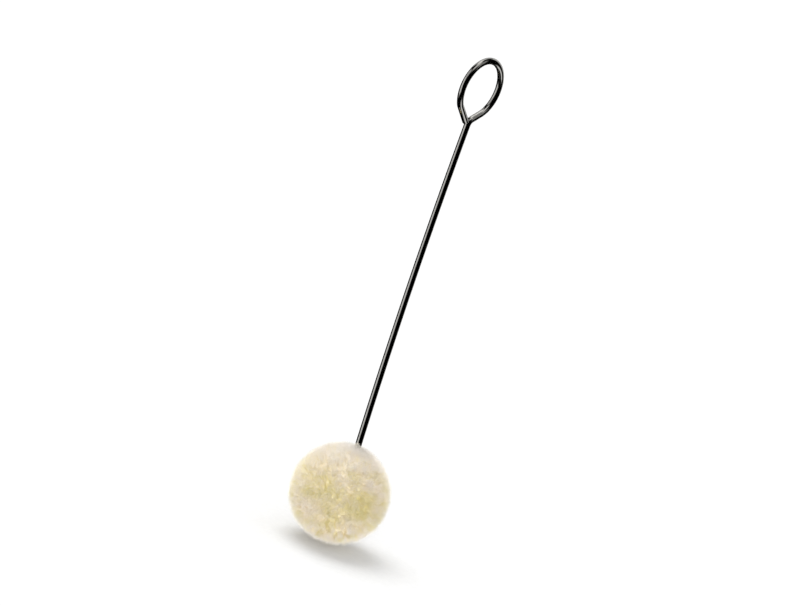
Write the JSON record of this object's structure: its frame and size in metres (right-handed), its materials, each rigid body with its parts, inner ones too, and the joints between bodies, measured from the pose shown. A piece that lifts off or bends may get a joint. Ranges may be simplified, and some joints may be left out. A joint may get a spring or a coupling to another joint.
{
  "type": "wool dauber",
  "caption": "Ball of natural lambswool on a bent steel wire handle with a hanging eye, for spreading dressing, polish or paste.",
  "frame": {"origin": "centre of the hanging eye", "axes": "+Z along the handle from the wool ball towards the eye, the eye lies in the XZ plane with its axis along Y, and +X is the side on which the wire leaves the shank for the eye"},
  "size_m": [0.0315, 0.0314, 0.159],
  "materials": {
    "bright_steel_wire": "bright drawn and nickel plated",
    "tanned_sheepskin": "undyed suede",
    "staple_steel": "galvanised wire",
    "natural_lambswool": "dense curled pile, undyed cream"
  },
  "bodies": {
    "root": {"handle_wire": "bright_steel_wire", "hide_strip": "tanned_sheepskin", "staple": "staple_steel", "wool_pile": "natural_lambswool"}
  },
  "joints": []
}
